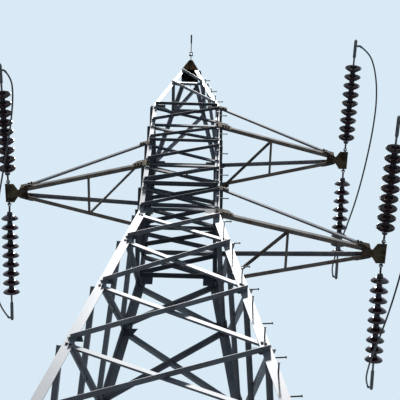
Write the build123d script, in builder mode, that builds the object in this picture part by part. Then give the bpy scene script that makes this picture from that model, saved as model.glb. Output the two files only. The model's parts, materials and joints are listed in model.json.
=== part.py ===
from build123d import *
import os
from math import radians, sin, cos, tan, sqrt, pi

os.makedirs("parts", exist_ok=True)

# Lattice pylon with three crossarms, in millimetres.
# X runs along the crossarms, Y along the line, Z up. The origin is on the ground, on the body's axis.

# Overall sizes
base_width = 4770.0
waist_width = 1080.0
waist_height = 14300.0
arm_spacing = 1500.0
tie_rise = 810.0
peak_rise = 3850.0

# Legs: equal angles, heel outside
leg_flange = 110.0
cage_leg_flange = 65.0
peak_leg_flange = 65.0
leg_thickness = 8.0
peak_leg_length = 3150.0

# Panels of the tapered body, from the waist down, scaled together to fit above the foot nodes
panel_depths = (990.0, 1370.0, 1420.0, 1430.0, 1700.0, 2050.0, 2400.0, 2680.0)
foot_node_height = 260.0

# Braces: equal angles on both sides of the leg flanges
body_brace = 60.0
cage_brace = 50.0
peak_brace = 50.0
strut_flange = 50.0
brace_thickness = 5.0
body_outer_end_distance = 28.0
body_inner_corner_reach = 51.0
cage_outer_end_distance = 20.0
cage_inner_end_distance = 10.0
strut_end_distance = 10.0
peak_end_distance = 10.0
node_gap = 65.0
waist_gap = 128.0
waist_strut_rise = 110.0
top_strut_rise = 32.0
tie_strut_rise = 40.0
cage_rise = 172.0
cage_drop = 114.0
side_strut_drop = 32.0
packing_size = 38.0

# Corner gussets inside the legs, at the waist and under the peak
corner_gusset_width = 150.0
corner_gusset_half = 80.0
gusset_heel_gap = 45.0
gusset_thickness = 8.0

# Joint gussets inside the legs at the nodes of the body, beside the ends of the outer diagonals
joint_gusset_width = 165.0
joint_gusset_near = 14.0
joint_gusset_far = 150.0
joint_gusset_heel_gap = 22.0

# Crossarms
upper_arm_reach = 2600.0
left_arm_reach = 2600.0
lower_arm_reach = 2800.0
chord_flange = 60.0
chord_thickness = 6.0
tie_flange = 50.0
tie_thickness = 5.0
arm_brace = 36.0
arm_brace_share = 0.45
arm_brace_clearance = 12.0
arm_diagonal_offset = 150.0
root_plate_thickness = 10.0
root_plate_rise = 125.0
root_plate_drop = 60.0
root_plate_inner = 62.0
root_plate_outer = 190.0
root_plate_corner = 70.0
tie_plate_height = 80.0
tie_plate_outer = 130.0
root_clearance = 30.0
tip_plate_thickness = 12.0
tip_plate_length = 330.0
tip_plate_half_width = 150.0
tip_hole_spacing = 220.0
tip_hole_edge = 50.0
tip_hole_radius = 13.0
tip_side_length = 195.0
tip_side_height = 120.0
chord_end_gap = 215.0
chord_end_half_gap = 72.0
tip_neck_half_width = 55.0
tip_neck_gap = 185.0
tip_head_length = 125.0
tie_root_offset = 40.0
tie_root_drop = 45.0
tie_tip_offset = 95.0
tie_tip_clearance = 32.0
tip_angle = 38.0
tip_angle_thickness = 5.0

# Insulator strings: cap and pin discs in line with the conductors
disc_count = 9
disc_pitch = 146.0
disc_radius = 127.5
cap_radius = 46.0
cap_length = 60.0
skirt_depth = 45.0
front_string_slope = 2.0
back_string_slope = 10.5
underside_rise = 12.0
first_rim_distance = 290.0
pin_radius = 12.0
shackle_reach = 62.0
shackle_width = 18.0
shackle_gap = 30.0
shackle_bar = 16.0
shackle_back = 18.0
shackle_pin_radius = 12.4
shackle_pin_head = 8.0
link_eye_radius = 16.0
link_eye_wall = 12.0
link_width = 26.0
link_thickness = 14.0
link_play = 0.2
clamp_neck_length = 120.0
clamp_neck_radius = 14.0
clamp_length = 300.0
clamp_radius = 24.0
clamp_taper = 25.0
clamp_lip = 6.0
conductor_radius = 12.0
conductor_depth = 160.0

# Jumpers: loops of conductor under the arms, from clamp to clamp, as places from the middle of an
# arm's two holes, outward from the tower, along the line and up; each arm's loop has its own swing
jumper_route = (
    (105.0, -1905.0, -70.0),
    (215.0, -1835.0, -120.0),
    (285.0, -1680.0, -255.0),
    (318.0, -1470.0, -430.0),
    (318.0, -1220.0, -590.0),
    (290.0, -960.0, -720.0),
    (248.0, -680.0, -835.0),
    (195.0, -390.0, -935.0),
    (140.0, -90.0, -1005.0),
    (80.0, 220.0, -1035.0),
    (15.0, 540.0, -1015.0),
    (-45.0, 870.0, -935.0),
    (-90.0, 1190.0, -800.0),
    (-110.0, 1490.0, -640.0),
    (-105.0, 1750.0, -490.0),
    (-65.0, 1900.0, -405.0),
)
jumper_shapes = {
    "upper_right": (1.0, 0.0),
    "left": (0.75, -110.0),
    "lower_right": (1.0, -100.0),
}
lug_radius = 16.0
lug_length = 45.0
lug_setback = 16.0

# Peak cap, the plate that holds the earth wire, and the wire's dead ends
peak_middle_rise = 1740.0
cap_bottom = 2780.0
cap_top = 3680.0
cap_thickness = 8.0
earth_plate_length = 260.0
earth_plate_height = 120.0
earth_plate_thickness = 14.0
earth_hole_radius = 13.0
earth_hole_edge = 34.0
earth_eye_radius = 14.0
earth_eye_wall = 10.0
earth_rod_length = 150.0
earth_clamp_length = 190.0
earth_clamp_radius = 15.0
earth_wire_radius = 5.5
earth_wire_depth = 90.0

# Feet
foot_plate_size = 420.0
foot_plate_thickness = 25.0
foot_bolt_spacing = 300.0
foot_hole_radius = 17.0
foot_rib_height = 150.0
foot_rib_length = 110.0
foot_rib_thickness = 12.0

# Step bolts on the front right leg, by turns on its two flanges, kept clear of the joints of the leg
step_bolt_radius = 8.0
step_bolt_length = 115.0
step_bolt_head_radius = 13.0
step_bolt_head = 9.0
step_bolt_pitch = 372.0
step_bolt_start = 2900.0
step_bolt_gauge = 30.0
body_joint_reach = 125.0
cage_joint_reach_up = 275.0
cage_joint_reach_down = 150.0

# Worked out from the sizes above
arm_levels = {
    "lower": waist_height,
    "left": waist_height + arm_spacing,
    "upper": waist_height + 2 * arm_spacing,
}
cage_top = arm_levels["upper"] + tie_rise
apex_height = cage_top + peak_rise
peak_middle = cage_top + peak_middle_rise
body_taper = (base_width - waist_width) / 2 / waist_height
peak_taper = waist_width / 2 / peak_rise
cage_levels = sorted(level + rise for level in arm_levels.values() for rise in (0.0, tie_rise))
face_turns = {"front": 0.0, "right": 90.0, "back": 180.0, "left": 270.0}
corners = {
    "front_left": (-1, -1),
    "front_right": (1, -1),
    "back_right": (1, 1),
    "back_left": (-1, 1),
}


def half_width(height):
    """Half the distance across the heels of the legs at a height."""
    if height < waist_height:
        return waist_width / 2 + body_taper * (waist_height - height)
    if height < cage_top:
        return waist_width / 2
    return peak_taper * (apex_height - height)


def body_levels():
    """Heights of the leg nodes below the waist, from the top down."""
    scale = (waist_height - foot_node_height) / sum(panel_depths)
    levels = [waist_height]
    for depth in panel_depths:
        levels.append(levels[-1] - depth * scale)
    return levels


def leg_section(side_x, side_y, flange, bottom, top):
    """One leg between two heights, cut level at both ends."""
    low, high = half_width(bottom), half_width(top)
    start = Vector(side_x * low, side_y * low, bottom)
    rise = Vector(side_x * high, side_y * high, top) - start
    with BuildSketch(Plane.XY.offset(bottom)) as section:
        with BuildLine():
            Polyline(
                (start.X, start.Y),
                (start.X - side_x * flange, start.Y),
                (start.X - side_x * flange, start.Y - side_y * leg_thickness),
                (start.X - side_x * leg_thickness, start.Y - side_y * leg_thickness),
                (start.X - side_x * leg_thickness, start.Y - side_y * flange),
                (start.X, start.Y - side_y * flange),
                close=True,
            )
        make_face()
    extrude(section.sketch, amount=rise.length, dir=rise.normalized())


def angle_bar(start, end, outward, flange, thickness):
    """An angle bar whose flat flange lies on the line and whose other flange stands outward."""
    along = (end - start).normalized()
    plane = Plane(origin=start, x_dir=outward.cross(along), z_dir=along)
    half = flange / 2
    with BuildSketch(plane) as section:
        with BuildLine():
            Polyline(
                (-half, 0),
                (half, 0),
                (half, thickness),
                (thickness - half, thickness),
                (thickness - half, flange),
                (-half, flange),
                close=True,
            )
        make_face()
    extrude(section.sketch, amount=(end - start).length)


def on_face(turn, across, height):
    """A point on the outer plane of a face: across to the right as seen from outside."""
    return Vector(across, -half_width(height), height).rotate(Axis.Z, turn)


def face_outward(turn, taper):
    """The outward direction of a face that leans in by the taper."""
    return Vector(0, -1, taper).normalized().rotate(Axis.Z, turn)


def face_bar(turn, first, second, inside, flange, taper, end_distance):
    """A brace between two points of a face, lapped on the outside or the inside of the legs."""
    outward = face_outward(turn, taper)
    start, end = on_face(turn, *first), on_face(turn, *second)
    along = (end - start).normalized()
    start, end = start - along * end_distance, end + along * end_distance
    if inside:
        skin = outward * (leg_thickness / sqrt(1 + taper**2))
        start, end, outward = start - skin, end - skin, -outward
    angle_bar(start, end, outward, flange, brace_thickness)


def brace_pair(top, bottom, leg_width, gap_top, gap_bottom):
    """The two diagonals of a panel in face coordinates: outer rises to the right, inner falls to it."""
    high, low = top - gap_top, bottom + gap_bottom
    upper = half_width(high) - leg_width / 2
    lower = half_width(low) - leg_width / 2
    outer = ((-lower, low), (upper, high))
    inner = ((-upper, high), (lower, low))
    return outer, inner


def packing(turn, place, taper):
    """A square plate between the two diagonals where they cross."""
    outward = face_outward(turn, taper)
    skin = leg_thickness / sqrt(1 + taper**2)
    across = Vector(1, 0, 0).rotate(Axis.Z, turn)
    plane = Plane(origin=on_face(turn, *place), x_dir=across, z_dir=-outward)
    with BuildSketch(plane) as section:
        Rectangle(packing_size, packing_size)
    extrude(section.sketch, amount=skin)


def body_panels():
    """Outer and inner diagonals of every panel below the waist."""
    levels = body_levels()
    panels = []
    for top, bottom in zip(levels, levels[1:]):
        gap_top = waist_gap if top == waist_height else node_gap
        panels.append(brace_pair(top, bottom, leg_flange, gap_top, node_gap))
    return panels


def cage_panels():
    """Outer and inner diagonals of every panel of the cage."""
    panels = []
    for bottom, top in zip(cage_levels, cage_levels[1:]):
        panels.append(brace_pair(top, bottom, cage_leg_flange, cage_drop, cage_rise))
    return panels


def lines_cross(first, second):
    """The point where two lines in face coordinates cross."""
    (ax, az), (bx, bz) = first
    (cx, cz), (dx, dz) = second
    run = (bx - ax) * (dz - cz) - (bz - az) * (dx - cx)
    share = ((cx - ax) * (dz - cz) - (cz - az) * (dx - cx)) / run
    return ax + share * (bx - ax), az + share * (bz - az)


# Legs of the tapered body
for name, (side_x, side_y) in corners.items():
    with BuildPart() as body_leg:
        leg_section(side_x, side_y, leg_flange, foot_plate_thickness, waist_height)
    body_leg.part.label = f"leg_{name}"
    export_step(body_leg.part, f"parts/leg_{name}.step")

# Legs of the cage
with BuildPart() as cage_legs:
    for side_x, side_y in corners.values():
        leg_section(side_x, side_y, cage_leg_flange, waist_height, cage_top)
cage_legs.part.label = "cage_legs"
export_step(cage_legs.part, "parts/cage_legs.step")

# Legs of the peak
with BuildPart() as peak_legs:
    for side_x, side_y in corners.values():
        leg_section(side_x, side_y, peak_leg_flange, cage_top, cage_top + peak_leg_length)
peak_legs.part.label = "peak_legs"
export_step(peak_legs.part, "parts/peak_legs.step")

# Diagonals of the tapered body, one node for each face
for name, turn in face_turns.items():
    with BuildPart() as body_braces:
        for outer, inner in body_panels():
            face_bar(turn, *outer, False, body_brace, body_taper, body_outer_end_distance)
            face_bar(turn, *inner, True, body_brace, body_taper, body_inner_corner_reach - body_brace / 2)
    body_braces.part.label = f"body_braces_{name}"
    export_step(body_braces.part, f"parts/body_braces_{name}.step")

# Diagonals of the cage, one node for each face
for name, turn in face_turns.items():
    with BuildPart() as cage_braces:
        for outer, inner in cage_panels():
            face_bar(turn, *outer, False, cage_brace, 0.0, cage_outer_end_distance)
            face_bar(turn, *inner, True, cage_brace, 0.0, cage_inner_end_distance)
    cage_braces.part.label = f"cage_braces_{name}"
    export_step(cage_braces.part, f"parts/cage_braces_{name}.step")

# Level struts of the cage: behind the legs where a chord meets them, and outside them elsewhere
with BuildPart() as cage_struts:
    strut_reach = waist_width / 2 - cage_leg_flange / 2
    for turn in face_turns.values():
        main_face = turn in (face_turns["front"], face_turns["back"])
        for level in cage_levels[:-1]:
            at_chord = level in arm_levels.values()
            if level == waist_height:
                height = level + waist_strut_rise
            elif main_face:
                height = level if at_chord else level + tie_strut_rise
            else:
                height = level - side_strut_drop
            ends = (-strut_reach, height), (strut_reach, height)
            inside = main_face and at_chord
            face_bar(turn, *ends, inside, strut_flange, 0.0, strut_end_distance)
        high = cage_top + top_strut_rise
        ends = (-strut_reach, high), (strut_reach, high)
        face_bar(turn, *ends, False, strut_flange, peak_taper, 0.0)
cage_struts.part.label = "cage_struts"
export_step(cage_struts.part, "parts/cage_struts.step")

# Packing plates where diagonals cross
with BuildPart() as body_packings:
    for turn in face_turns.values():
        for outer, inner in body_panels():
            packing(turn, lines_cross(outer, inner), body_taper)
body_packings.part.label = "body_packings"
export_step(body_packings.part, "parts/body_packings.step")

with BuildPart() as cage_packings:
    for turn in face_turns.values():
        for outer, inner in cage_panels():
            packing(turn, lines_cross(outer, inner), 0.0)
cage_packings.part.label = "cage_packings"
export_step(cage_packings.part, "parts/cage_packings.step")

# Corner gussets: bent plates inside the leg flanges, over the joints at the waist and the cage top
with BuildPart() as corner_gussets:
    for turn in face_turns.values():
        for level in (waist_height, cage_top):
            low, high = level - corner_gusset_half, level + corner_gusset_half
            skins = [(leg_thickness - half_width(z), z) for z in (low, level, high)]
            backs = [(depth + gusset_thickness, z) for depth, z in reversed(skins)]
            for side in (-1, 1):
                middle = side * (waist_width / 2 - gusset_heel_gap - corner_gusset_width / 2)
                origin = Vector(middle, 0, 0).rotate(Axis.Z, turn)
                inward = Vector(0, 1, 0).rotate(Axis.Z, turn)
                plane = Plane(origin=origin, x_dir=inward, z_dir=inward.cross(Vector(0, 0, 1)))
                with BuildSketch(plane):
                    with BuildLine():
                        Polyline(*skins, *backs, close=True)
                    make_face()
                extrude(amount=corner_gusset_width / 2, both=True)
corner_gussets.part.label = "corner_gussets"
export_step(corner_gussets.part, "parts/corner_gussets.step")

# Joint gussets: flat plates inside the leg flanges, above each node on the left and below it on the right
with BuildPart() as joint_gussets:
    for turn in face_turns.values():
        for level in body_levels()[1:-1]:
            for side in (-1, 1):
                near, far = level - side * joint_gusset_near, level - side * joint_gusset_far
                skin = face_outward(turn, body_taper) * (leg_thickness / sqrt(1 + body_taper**2))
                outline = []
                for height, width in (
                    (near, 0.0),
                    (near, joint_gusset_width),
                    (far, joint_gusset_width * 0.7),
                    (far, 0.0),
                ):
                    across = half_width(height) - joint_gusset_heel_gap - width
                    outline.append(on_face(turn, side * across, height) - skin)
                origin = outline[0]
                plane = Plane(origin=origin, x_dir=outline[1] - origin, z_dir=-face_outward(turn, body_taper))
                corner_points = [plane.to_local_coords(point) for point in outline]
                with BuildSketch(plane) as section:
                    with BuildLine():
                        Polyline(*[(point.X, point.Y) for point in corner_points], close=True)
                    make_face()
                extrude(section.sketch, amount=gusset_thickness)
joint_gussets.part.label = "joint_gussets"
export_step(joint_gussets.part, "parts/joint_gussets.step")

# Braces of the peak: level struts inside, single diagonals outside
with BuildPart() as peak_braces:
    peak_upper = cage_top + cap_bottom
    for turn in face_turns.values():
        drop = 0.0 if turn in (face_turns["front"], face_turns["back"]) else node_gap
        reach = half_width(peak_middle - drop) - peak_leg_flange / 2
        ends = (-reach, peak_middle - drop), (reach, peak_middle - drop)
        face_bar(turn, *ends, True, peak_brace, peak_taper, 0.0)
        low = cage_top + cage_rise
        left = (-half_width(peak_middle - node_gap) + peak_leg_flange / 2, peak_middle - node_gap)
        right = (half_width(low) - peak_leg_flange / 2, low)
        face_bar(turn, left, right, False, peak_brace, peak_taper, peak_end_distance)
        high = peak_upper - node_gap
        left = (-half_width(high) + peak_leg_flange / 2, high)
        right = (half_width(peak_middle) - peak_leg_flange / 2, peak_middle)
        face_bar(turn, left, right, False, peak_brace, peak_taper, peak_end_distance)
peak_braces.part.label = "peak_braces"
export_step(peak_braces.part, "parts/peak_braces.step")

# Cap of the peak: a hollow steel pyramid over the ends of the legs
with BuildPart() as peak_cap:
    cap_low, cap_high = cage_top + cap_bottom, cage_top + cap_top
    outer_low = 2 * half_width(cap_low) + 2 * cap_thickness
    outer_high = 2 * half_width(cap_high) + 2 * cap_thickness
    with BuildSketch(Plane.XY.offset(cap_low)):
        Rectangle(outer_low, outer_low)
    with BuildSketch(Plane.XY.offset(cap_high)):
        Rectangle(outer_high, outer_high)
    loft()
    inner_high = 2 * half_width(cap_high - cap_thickness)
    with BuildSketch(Plane.XY.offset(cap_low)):
        Rectangle(2 * half_width(cap_low), 2 * half_width(cap_low))
    with BuildSketch(Plane.XY.offset(cap_high - cap_thickness)):
        Rectangle(inner_high, inner_high)
    loft(mode=Mode.SUBTRACT)
peak_cap.part.label = "peak_cap"
export_step(peak_cap.part, "parts/peak_cap.step")

# Plate on the cap that holds the earth wire, one hole at each end
with BuildPart() as earth_wire_plate:
    middle = cap_high + earth_plate_height / 2
    with BuildSketch(Plane.YZ.offset(-earth_plate_thickness / 2)):
        with Locations((0, middle)):
            RectangleRounded(earth_plate_length, earth_plate_height, earth_hole_edge)
        with Locations((0, cap_high + earth_plate_height / 4)):
            Rectangle(outer_high, earth_plate_height / 2)
        earth_hole_height = cap_high + earth_plate_height - earth_hole_edge
        earth_hole_reach = earth_plate_length / 2 - earth_hole_edge
        ends = (-earth_hole_reach, earth_hole_height), (earth_hole_reach, earth_hole_height)
        with Locations(*ends):
            Circle(earth_hole_radius, mode=Mode.SUBTRACT)
    extrude(amount=earth_plate_thickness)
earth_wire_plate.part.label = "earth_wire_plate"
export_step(earth_wire_plate.part, "parts/earth_wire_plate.step")

# Feet: a plate under each leg, with ribs and four anchor holes
with BuildPart() as feet:
    foot_centre = half_width(foot_plate_thickness) - leg_flange / 2
    foot_places = [(x * foot_centre, y * foot_centre) for x, y in corners.values()]
    with BuildSketch():
        with Locations(*foot_places):
            Rectangle(foot_plate_size, foot_plate_size)
            with GridLocations(foot_bolt_spacing, foot_bolt_spacing, 2, 2):
                Circle(foot_hole_radius, mode=Mode.SUBTRACT)
    extrude(amount=foot_plate_thickness)
    for side_x, side_y in corners.values():
        heel = half_width(foot_plate_thickness)
        upper_heel = half_width(foot_plate_thickness + foot_rib_height)
        gauge = leg_flange / 2
        rib = [
            (heel, foot_plate_thickness),
            (heel + foot_rib_length, foot_plate_thickness),
            (heel + foot_rib_length, foot_plate_thickness + foot_rib_length / 4),
            (upper_heel + foot_rib_length / 4, foot_plate_thickness + foot_rib_height),
            (upper_heel, foot_plate_thickness + foot_rib_height),
        ]
        for plane, side in (
            (Plane.XZ.offset(side_y * (gauge - heel)), side_x),
            (Plane.YZ.offset(side_x * (heel - gauge)), side_y),
        ):
            with BuildSketch(plane) as section:
                with BuildLine():
                    Polyline(*[(side * out, up) for out, up in rib], close=True)
                make_face()
            extrude(section.sketch, amount=foot_rib_thickness / 2, both=True)
feet.part.label = "feet"
export_step(feet.part, "parts/feet.step")


def clear_of_joints(height):
    """A height kept between the brace ends of a body joint, and off a joint of the cage or the peak."""
    for joint in body_levels()[1:]:
        if abs(height - joint) < body_joint_reach:
            return joint
    for joint in cage_levels + [peak_middle]:
        if -cage_joint_reach_down < height - joint < cage_joint_reach_up:
            return joint + (cage_joint_reach_up if height > joint else -cage_joint_reach_down)
    return height


# Step bolts: pins with a button head, by turns on the front and on the right flange of one leg
with BuildPart() as step_bolts:
    step_bolt_end = cage_top + cap_bottom - cage_joint_reach_up
    step_count = int((step_bolt_end - step_bolt_start) / step_bolt_pitch)
    for number in range(step_count + 1):
        turn = face_turns["right"] if number % 2 == 0 else face_turns["front"]
        height = clear_of_joints(step_bolt_start + number * step_bolt_pitch)
        taper = 0.0
        if height < waist_height:
            taper = body_taper
        if height > cage_top:
            taper = peak_taper
        side = 1 if turn == face_turns["front"] else -1
        foot = on_face(turn, side * (half_width(height) - step_bolt_gauge), height)
        plane = Plane(origin=foot, z_dir=face_outward(turn, taper))
        with Locations(plane):
            Cylinder(
                step_bolt_radius,
                step_bolt_length,
                align=(Align.CENTER, Align.CENTER, Align.MIN),
            )
        with Locations(plane.offset(step_bolt_length)):
            Cylinder(
                step_bolt_head_radius,
                step_bolt_head,
                align=(Align.CENTER, Align.CENTER, Align.MIN),
            )
step_bolts.part.label = "step_bolts"
export_step(step_bolts.part, "parts/step_bolts.step")


def arm_plane(reach):
    """The upright plane of an arm's front chord and tie, level with the chord's underside."""
    root = Vector(waist_width / 2, -waist_width / 2, 0)
    end = Vector(reach - chord_end_gap, -chord_end_half_gap, 0)
    along = (end - root).normalized()
    return root, along, along.cross(Vector(0, 0, 1)), (end - root).length


def placed(level, turn):
    """Where an arm's own frame stands on the tower: lifted to its level and turned to its side."""
    return Location((0, 0, level), (0, 0, turn))


def arm_chord(reach):
    """The front bottom chord: one flange upright in the arm's plane, the other level below it."""
    root, along, outward, length = arm_plane(reach)
    plane = Plane(origin=root + along * root_clearance, x_dir=-outward, z_dir=along)
    with BuildSketch(plane) as section:
        with BuildLine():
            Polyline(
                (0, 0),
                (0, chord_flange),
                (chord_thickness, chord_flange),
                (chord_thickness, chord_thickness),
                (chord_flange, chord_thickness),
                (chord_flange, 0),
                close=True,
            )
        make_face()
    extrude(section.sketch, amount=length - root_clearance)


def arm_tie(reach):
    """The front tie: from the root plate above down to the plate at the tip, lapped inside both."""
    root, along, outward, length = arm_plane(reach)
    start = root + along * tie_root_offset + Vector(0, 0, tie_rise - tie_root_drop)
    end = root + along * (length - tie_tip_offset) + Vector(0, 0, chord_flange + tie_tip_clearance)
    angle_bar(start, end, -outward, tie_flange, tie_thickness)


def bent_plate(reach, outer_length, bottom, height, corner=0.0):
    """A root plate: lapped on the leg's front flange and bent at the heel into the arm's plane."""
    root, along, outward, _ = arm_plane(reach)
    lap = Vector(-root_plate_inner, 0, 0)
    front = Vector(0, -root_plate_thickness, 0)
    tip = along * outer_length
    half_turn = (Vector(1, 0, 0).get_angle(along)) / 2
    miter = front + Vector(root_plate_thickness * tan(radians(half_turn)), 0, 0)
    ring = (lap, Vector(0, 0, 0), tip, tip + outward * root_plate_thickness, miter, lap + front)
    with BuildSketch(Plane.XY.offset(bottom)) as section:
        with BuildLine():
            Polyline(*[((root + point).X, (root + point).Y) for point in ring], close=True)
        make_face()
    extrude(section.sketch, amount=height)
    if corner:
        top = root + tip + Vector(0, 0, bottom + height)
        with BuildSketch(Plane(origin=top, x_dir=along, z_dir=outward)) as cut:
            with BuildLine():
                Polyline((0, 0), (-corner, 0), (0, -corner), close=True)
            make_face()
        extrude(cut.sketch, amount=root_plate_thickness, mode=Mode.SUBTRACT)


arms = {
    "upper_right": (upper_arm_reach, arm_levels["upper"], 0.0),
    "left": (left_arm_reach, arm_levels["left"], 180.0),
    "lower_right": (lower_arm_reach, arm_levels["lower"], 0.0),
}

for name, (reach, level, turn) in arms.items():
    place = placed(level, turn)
    root, along, outward, length = arm_plane(reach)

    # Bottom chords
    with BuildPart() as arm_chords:
        arm_chord(reach)
        mirror(about=Plane.XZ)
    arm_chords.part.label = f"{name}_arm_chords"
    export_step(place * arm_chords.part, f"parts/{name}_arm_chords.step")

    # Ties
    with BuildPart() as arm_ties:
        arm_tie(reach)
        mirror(about=Plane.XZ)
    arm_ties.part.label = f"{name}_arm_ties"
    export_step(place * arm_ties.part, f"parts/{name}_arm_ties.step")

    # Bracing in the level plane of the chords: a strut above them and a diagonal below
    with BuildPart() as arm_bracing:
        strut = root + along * (arm_brace_share * length)
        strut_end = -strut.Y - chord_thickness - arm_brace_clearance
        start = Vector(strut.X, -strut_end, chord_thickness)
        end = Vector(strut.X, strut_end, chord_thickness)
        angle_bar(start, end, Vector(0, 0, 1), arm_brace, brace_thickness)
        foot = root + along * arm_diagonal_offset - outward * chord_flange / 2
        head = strut - outward * chord_flange / 2
        start = Vector(foot.X, -foot.Y, 0)
        along_diagonal = (head - start).normalized()
        start, end = start - along_diagonal * peak_end_distance, head + along_diagonal * peak_end_distance
        angle_bar(start, end, Vector(0, 0, -1), arm_brace, brace_thickness)
    arm_bracing.part.label = f"{name}_arm_bracing"
    export_step(place * arm_bracing.part, f"parts/{name}_arm_bracing.step")

    # Plate at the tip: under the chords, with a neck and a head for the two strings
    with BuildPart() as tip_plate:
        back_x = reach - tip_plate_length
        back = root + along * ((back_x - root.X) / along.X)
        neck_x = reach - tip_neck_gap
        neck = root + along * ((neck_x - root.X) / along.X)
        head_x = reach - tip_head_length
        front_half = [
            (back_x, back.Y),
            (reach - chord_end_gap, -chord_end_half_gap),
            (neck_x, -tip_neck_half_width),
            (head_x, -tip_plate_half_width),
            (reach, -tip_plate_half_width),
        ]
        back_half = [(x, -y) for x, y in reversed(front_half)]
        with BuildSketch(Plane.XY.offset(-tip_plate_thickness)):
            with BuildLine():
                Polyline(*front_half, *back_half, close=True)
            make_face()
            with Locations((reach - tip_hole_edge, 0)):
                with GridLocations(0, tip_hole_spacing, 1, 2):
                    Circle(tip_hole_radius, mode=Mode.SUBTRACT)
        extrude(amount=tip_plate_thickness)
        flat = tip_angle - tip_angle_thickness
        with BuildSketch(Plane(origin=(reach, 0, 0), x_dir=(-1, 0, 0), z_dir=(0, 1, 0))) as section:
            with BuildLine():
                Polyline(
                    (0, 0),
                    (0, tip_angle),
                    (tip_angle_thickness, tip_angle),
                    (tip_angle_thickness, tip_angle_thickness),
                    (flat, tip_angle_thickness),
                    (flat, 0),
                    close=True,
                )
            make_face()
        extrude(section.sketch, amount=tip_neck_half_width, both=True)
    tip_plate.part.label = f"{name}_arm_tip_plate"
    export_step(place * tip_plate.part, f"parts/{name}_arm_tip_plate.step")

    # Upright plates: at the roots of chords and ties, and between chord and tie at the tip
    with BuildPart() as arm_plates:
        bottom = 0.0 if level == waist_height else -root_plate_drop
        height = root_plate_rise - bottom
        bent_plate(reach, root_plate_outer, bottom, height, root_plate_corner)
        bent_plate(reach, tie_plate_outer, tie_rise - tie_plate_height, tie_plate_height)
        tip_start = root + along * (length - tip_side_length)
        plane = Plane(origin=tip_start, x_dir=along, z_dir=outward)
        with BuildSketch(plane):
            Rectangle(tip_side_length, tip_side_height, align=(Align.MIN, Align.MIN))
        extrude(amount=root_plate_thickness)
        mirror(about=Plane.XZ)
    arm_plates.part.label = f"{name}_arm_plates"
    export_step(place * arm_plates.part, f"parts/{name}_arm_plates.step")


def jumper_points(name):
    """The places of one arm's jumper, from the front clamp to the back clamp."""
    reach, level, turn = arms[name]
    stretch, swing = jumper_shapes[name]
    middle = (reach - tip_hole_edge) * (1 if turn == 0.0 else -1)
    first, last = jumper_route[0][1], jumper_route[-1][1]
    points = []
    for out, along_line, rise in jumper_route:
        share = (along_line - first) / (last - first)
        across = stretch * out + swing * sin(pi * share)
        points.append(Vector(middle + across, along_line, level + rise))
    return points


def tube(points, radius):
    """A round bar along straight runs joined by tangent arcs as large as the runs allow."""
    runs = [end - start for start, end in zip(points, points[1:])]
    radii = []
    for first, second in zip(runs, runs[1:]):
        half_turn = radians(first.get_angle(second)) / 2
        radii.append(0.45 * min(first.length, second.length) / tan(half_turn))
    with BuildLine() as path:
        FilletPolyline(*points, radius=radii)
    with BuildSketch(Plane(origin=points[0], z_dir=runs[0])) as section:
        Circle(radius)
    route = path.wires()[0]
    sweep(section.sketch, path=route)
    return radii, route.length


# Jumpers, each with its smallest arc, its length and its volume against section times length
for name in arms:
    with BuildPart() as jumper:
        arcs, length = tube(jumper_points(name), conductor_radius)
    share = jumper.part.volume / (pi * conductor_radius**2 * length)
    print(f"jumper {name}: arcs {min(arcs):.0f} to {max(arcs):.0f}, length {length:.0f}, volume {share:.4f}")
    jumper.part.label = f"jumper_{name}"
    export_step(jumper.part, f"parts/jumper_{name}.step")

# Every string hangs from a hole in a tip plate: the place of the hole and which way the string runs
string_holes = {"front": {}, "back": {}}
for name, (reach, level, turn) in arms.items():
    hole_x = (reach - tip_hole_edge) * (1 if turn == 0.0 else -1)
    hole_z = level - tip_plate_thickness / 2
    string_holes["front"][name] = Vector(hole_x, -tip_hole_spacing / 2, hole_z)
    string_holes["back"][name] = Vector(hole_x, tip_hole_spacing / 2, hole_z)
string_runs = {
    "front": (-1, radians(front_string_slope)),
    "back": (1, radians(back_string_slope)),
}
first_cap = first_rim_distance - shackle_reach - cap_length - skirt_depth
string_end = first_cap + disc_count * disc_pitch


def string_plane(side, hole):
    """A plane through a string's axis, X level across it and Y along it, from the shackle's bow."""
    facing, slope = string_runs[side]
    bow = hole + Vector(0, facing * shackle_reach, 0)
    fall = Vector(0, facing * cos(slope), -sin(slope))
    return Plane(origin=bow, x_dir=(1, 0, 0), z_dir=Vector(1, 0, 0).cross(fall))


def spin(plane, outline):
    """A turned piece of a string, from its half outline of radii and distances along the axis."""
    with BuildSketch(plane) as section:
        with BuildLine():
            Polyline(*outline, close=True)
        make_face()
    revolve(section.sketch, axis=Axis(plane.origin, plane.y_dir))


def disc_outline():
    """Half outline of a whole string of discs: cap, skirt, open underside and pin, again and again."""
    outline = [(0, first_cap)]
    for number in range(disc_count):
        base = first_cap + number * disc_pitch
        rim = base + cap_length + skirt_depth
        outline += [
            (cap_radius, base),
            (cap_radius, base + cap_length),
            (disc_radius, rim),
            (pin_radius, rim - underside_rise),
            (pin_radius, base + disc_pitch),
        ]
    outline.append((0, string_end))
    return outline


def clamp_outline():
    """Half outline of a dead end clamp: neck, barrel and the blind bore for the conductor."""
    barrel = string_end + clamp_neck_length
    mouth = barrel + clamp_length
    return [
        (0, string_end),
        (clamp_neck_radius, string_end),
        (clamp_neck_radius, barrel),
        (clamp_radius, barrel + clamp_taper),
        (clamp_radius, mouth - clamp_taper),
        (clamp_radius - clamp_lip, mouth),
        (conductor_radius, mouth),
        (conductor_radius, mouth - conductor_depth),
        (0, mouth - conductor_depth),
    ]


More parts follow.
